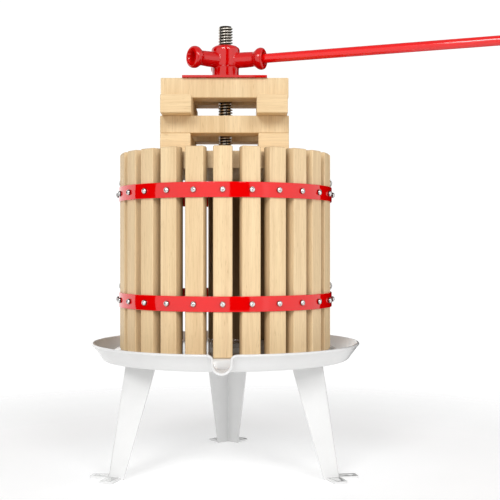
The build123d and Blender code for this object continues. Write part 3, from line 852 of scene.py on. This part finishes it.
def build_block(name, material):
    low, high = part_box(name)
    low, high = low / MM, high / MM
    block = mesh_piece("planed_" + name, *box_mesh(low.x, high.x, low.y, high.y, low.z, high.z), material)
    bevelled(block, 1.2, 3)
    place(block, "press_stack", "beech_wood", name)


def build_board(name, side):
    low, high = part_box(name)
    disc_r, notch_r, gap = high.x / MM, STACK_BORE_R, 0.5
    outline = []
    for radius, turns in ((disc_r, range(0, 181, 3)), (notch_r, range(180, -1, -12))):
        for turn in turns:
            x, y = radius * cos(radians(turn)), radius * sin(radians(turn))
            outline.append((x, side * max(y, gap)))
    board = prism("planed_" + name, outline, low.z / MM, high.z / MM, BOARD_WOOD)
    bevelled(board, 1.0, 2, 40.0)
    place(board, "press_stack", "beech_wood", name)


def build_plate():
    low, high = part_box("thrust_plate")
    half = high.x / MM
    outline = rounded_rectangle(-half, half, -half, half, 2.5)
    bore = [((0, 0), STACK_BORE_R)]
    plate = prism("painted_thrust_plate", outline, low.z / MM, high.z / MM, CAST_RED, bore)
    bevelled(plate, 0.6, 2)
    place(plate, "press_stack", "red_paint", "thrust_plate")


# ---- Press head ----------------------------------------------------------------------------------

def build_head():
    """Casting: hub, foot and three flared sockets blended together, then bored."""
    hub = lathe("hub", [
        (0.01, HEAD_BOTTOM), (HEAD_FOOT_R, HEAD_BOTTOM), (HEAD_FOOT_R, HEAD_BOTTOM + 3.2),
        (HEAD_FOOT_R - 2.4, HEAD_BOTTOM + 5.4), (HEAD_FOOT_R - 2.4, 566.0), (HUB_R, 569.0),
        (HUB_R, 592.4), (HUB_R - 0.9, 594.8), (HUB_R - 4.8, HEAD_TOP), (0.01, HEAD_TOP),
    ], CAST_RED, 96)
    parts = [hub]
    for angle in HEAD_ANGLES:
        arm_line = [
            (0.01, 0.0), (ARM_R, 0.0), (ARM_R, 30.0), (ARM_R - 0.6, 44.0), (ARM_R + 1.0, 46.5),
            (COLLAR_R - 1.9, 48.8), (COLLAR_R - 0.5, 51.0), (COLLAR_R, 53.5), (COLLAR_R, 55.5),
            (COLLAR_R - 0.9, 58.2), (COLLAR_R - 2.9, MOUTH), (0.01, MOUTH),
        ]
        parts.append(lathe("arm", arm_line, CAST_RED, 64, outward(angle, 0.0, ARM_Z)))
    head = join("cast_press_head", parts)
    remesh = head.modifiers.new("cast", "REMESH")
    remesh.mode = "VOXEL"
    remesh.voxel_size = HEAD_VOXEL * MM
    soft = head.modifiers.new("soft", "SMOOTH")
    soft.factor = 0.5
    soft.iterations = 8
    apply_modifiers(head)
    tools = []
    for angle in HEAD_ANGLES:
        socket = [
            (0.01, SOCKET_BOTTOM), (SOCKET_R, SOCKET_BOTTOM), (SOCKET_R, MOUTH - 7.0), (7.3, MOUTH - 4.0),
            (8.4, MOUTH - 1.2), (9.6, MOUTH + 0.6), (9.6, MOUTH + 4), (0.01, MOUTH + 4),
        ]
        tools.append(lathe("socket", socket, CAST_RED, 64, outward(angle, 0.0, ARM_Z)))
    bore = [(0.01, 540.0), (SPINDLE_BORE_R, 540.0), (SPINDLE_BORE_R, HEAD_TOP - 1.2), (11.4, HEAD_TOP + 0.2),
            (11.4, HEAD_TOP + 5), (0.01, HEAD_TOP + 5)]
    tools.append(lathe("bore", bore, CAST_RED, 64))
    cut(head, *tools)
    smooth_by_angle(head, 32.0)
    place(head, "press_head_body", "red_paint", "press_head")


def build_lever():
    """Bar with softly rounded ends."""
    r, inner, outer = LEVER_R, LEVER_INNER, LEVER_OUTER
    line = [(0.01, inner), (r - 2.0, inner), (r - 0.6, inner + 0.6), (r, inner + 2.0)]
    line += [(r, inner + 60.0 * k) for k in range(1, 8)]
    for step in range(9):
        turn = radians(11.25 * step)
        line.append((max(r * cos(turn), 0.01), outer - 4.0 + 4.0 * sin(turn)))
    bar = lathe("painted_lever_bar", line, LEVER_RED, 48, outward(HEAD_ANGLES[0], 0.0, ARM_Z))
    smooth_by_angle(bar, 40.0)
    place(bar, "lever", "red_paint", "lever_bar")


# ---- Studio --------------------------------------------------------------------------------------

CAMERA_PLACE = Vector((0.035, -1.439, 0.307))
CAMERA_LENS, CAMERA_SENSOR = 72.5, 36.0
# Softboxes round the object: azimuth from the front towards +x, in degrees, with the brightness from there on
STUDIO_BANDS = ((-180, 0.1), (-179, 1.3), (-110, 0.0), (-78, 0.95), (5, 0.0), (26.2, 0.85), (39.7, 1.15),
                (47.5, 0.95), (121.6, 0.0), (180, 0.0))
ZENITH = 0.35
ZENITH_FADE = (0.66, 0.85)
BACKDROP = 1.05
FLOOR_GLOW = 0.43
FLOOR_FADE = (0.30, 1.10)
FLOOR_HALF, FLOOR_Z = 1300.0, -0.05


def build_camera():
    data = bpy.data.cameras.new("camera")
    data.lens = CAMERA_LENS
    data.sensor_width = CAMERA_SENSOR
    camera = bpy.data.objects.new("camera", data)
    camera.location = CAMERA_PLACE
    camera.rotation_euler = (pi / 2, 0, 0)
    scene.collection.objects.link(camera)
    scene.camera = camera


def build_world():
    """Softboxes as bands of the surrounding light; what the camera sees behind is plain white."""
    world = bpy.data.worlds.new("studio")
    scene.world = world
    world.use_nodes = True
    nodes, links = world.node_tree.nodes, world.node_tree.links
    nodes.clear()
    output = nodes.new("ShaderNodeOutputWorld")
    coordinates = nodes.new("ShaderNodeTexCoord")
    split = nodes.new("ShaderNodeSeparateXYZ")
    links.new(coordinates.outputs["Generated"], split.inputs["Vector"])
    turn = nodes.new("ShaderNodeMath")
    turn.operation = "ARCTAN2"
    minus = nodes.new("ShaderNodeMath")
    minus.operation = "MULTIPLY"
    minus.inputs[1].default_value = -1.0
    links.new(split.outputs["Y"], minus.inputs[0])
    links.new(split.outputs["X"], turn.inputs[0])
    links.new(minus.outputs["Value"], turn.inputs[1])
    share = nodes.new("ShaderNodeMapRange")
    share.inputs["From Min"].default_value = -pi
    share.inputs["From Max"].default_value = pi
    links.new(turn.outputs["Value"], share.inputs["Value"])
    bands = nodes.new("ShaderNodeValToRGB")
    bands.color_ramp.interpolation = "CONSTANT"
    while len(bands.color_ramp.elements) < len(STUDIO_BANDS):
        bands.color_ramp.elements.new(1.0)
    for element, (azimuth, brightness) in zip(bands.color_ramp.elements, STUDIO_BANDS):
        element.position = (azimuth + 180.0) / 360.0
        element.color = (brightness / 2, brightness / 2, brightness / 2, 1.0)
    links.new(share.outputs["Result"], bands.inputs["Fac"])
    height = nodes.new("ShaderNodeValToRGB")
    for element, (level, value) in zip(height.color_ramp.elements, zip(ZENITH_FADE, (0.0, 1.0))):
        element.position = level
        element.color = (value, value, value, 1.0)
    rise = nodes.new("ShaderNodeMapRange")
    rise.inputs["From Min"].default_value = -1.0
    links.new(split.outputs["Z"], rise.inputs["Value"])
    links.new(rise.outputs["Result"], height.inputs["Fac"])
    overhead = nodes.new("ShaderNodeRGB")
    overhead.outputs[0].default_value = (ZENITH / 2, ZENITH / 2, ZENITH / 2, 1.0)
    light = mix_colour(nodes, links, "MIX", height.outputs["Color"], bands.outputs["Color"],
                       overhead.outputs[0])
    lit = nodes.new("ShaderNodeBackground")
    lit.inputs["Strength"].default_value = 2.0
    links.new(light, lit.inputs["Color"])
    seen = nodes.new("ShaderNodeBackground")
    seen.inputs["Color"].default_value = (1, 1, 1, 1)
    seen.inputs["Strength"].default_value = BACKDROP
    rays = nodes.new("ShaderNodeLightPath")
    mixer = nodes.new("ShaderNodeMixShader")
    links.new(rays.outputs["Is Camera Ray"], mixer.inputs["Fac"])
    links.new(lit.outputs["Background"], mixer.inputs[1])
    links.new(seen.outputs["Background"], mixer.inputs[2])
    links.new(mixer.outputs["Shader"], output.inputs["Surface"])


def build_floor():
    """Pale floor that fades out with distance from the press."""
    material, nodes, links, shader = new_material("pale_floor")
    mottle = object_noise(nodes, links, 6.0, 2.0)
    greys = [(0.3, (0.68, 0.68, 0.68)), (0.7, (0.71, 0.71, 0.71))]
    tone = colour_ramp(nodes, links, mottle.outputs["Fac"], greys)
    links.new(tone.outputs["Color"], shader.inputs["Base Color"])
    shader.inputs["Roughness"].default_value = 0.9
    shader.inputs["Specular IOR Level"].default_value = 0.0
    shader.inputs["Emission Color"].default_value = (1, 1, 1, 1)
    shader.inputs["Emission Strength"].default_value = FLOOR_GLOW
    coordinates = nodes.new("ShaderNodeTexCoord")
    length = nodes.new("ShaderNodeVectorMath")
    length.operation = "LENGTH"
    fade = nodes.new("ShaderNodeMapRange")
    fade.interpolation_type = "SMOOTHSTEP"
    fade.inputs["From Min"].default_value = FLOOR_FADE[0]
    fade.inputs["From Max"].default_value = FLOOR_FADE[1]
    clear = nodes.new("ShaderNodeBsdfTransparent")
    blend = nodes.new("ShaderNodeMixShader")
    links.new(coordinates.outputs["Object"], length.inputs[0])
    links.new(length.outputs["Value"], fade.inputs["Value"])
    links.new(fade.outputs["Result"], blend.inputs["Fac"])
    links.new(shader.outputs["BSDF"], blend.inputs[1])
    links.new(clear.outputs["BSDF"], blend.inputs[2])
    links.new(blend.outputs["Shader"], nodes["Material Output"].inputs["Surface"])
    corners = [Vector((x * FLOOR_HALF, y * FLOOR_HALF, FLOOR_Z)) * MM
               for x, y in ((-1, -1), (1, -1), (1, 1), (-1, 1))]
    floor = mesh_piece("floor", corners, [(0, 1, 2, 3)], material, False)


def build_light(name, spot, aim, size, watts):
    data = bpy.data.lights.new(name, "AREA")
    data.shape = "RECTANGLE"
    data.size, data.size_y = size
    data.energy = watts
    lamp = bpy.data.objects.new(name, data)
    lamp.location = spot
    lamp.rotation_euler = (Vector(aim) - Vector(spot)).to_track_quat("-Z", "Y").to_euler()
    scene.collection.objects.link(lamp)


# ---- Building ------------------------------------------------------------------------------------

build_camera()
build_world()
build_floor()
build_light("key", (-1.0, -3.0, 2.1), (0, 0, 0.35), (1.1, 1.1), 46.0)
build_light("fill", (1.3, -2.8, 2.0), (0, 0, 0.3), (1.1, 1.1), 30.0)

for slat_number in range(1, SLAT_COUNT + 1):
    build_slat(slat_number)
for hoop_level in HOOP_CENTRES:
    build_hoop(hoop_level, "front", -90.0, SEAM_AZIMUTH, (0, 2))
    build_hoop(hoop_level, "rear", 90.0, 180.0 - SEAM_AZIMUTH, (1,))
    build_pin(hoop_level, "right", SEAM_AZIMUTH)
    build_pin(hoop_level, "left", -SEAM_AZIMUTH)
build_screws()
build_tray()
for leg_name, leg_angle in LEG_ANGLES.items():
    build_leg(leg_name, leg_angle)
build_spindle()
finish_fixings()
for beam in ("top_beam_front", "top_beam_rear", "middle_beam_front", "middle_beam_rear"):
    build_block(beam, BEAM_WOOD)
for block in ("upper_block_left", "upper_block_right", "lower_block_left", "lower_block_right"):
    build_block(block, BLOCK_WOOD)
build_board("press_board_front", -1)
build_board("press_board_rear", 1)
build_plate()
build_head()
build_lever()
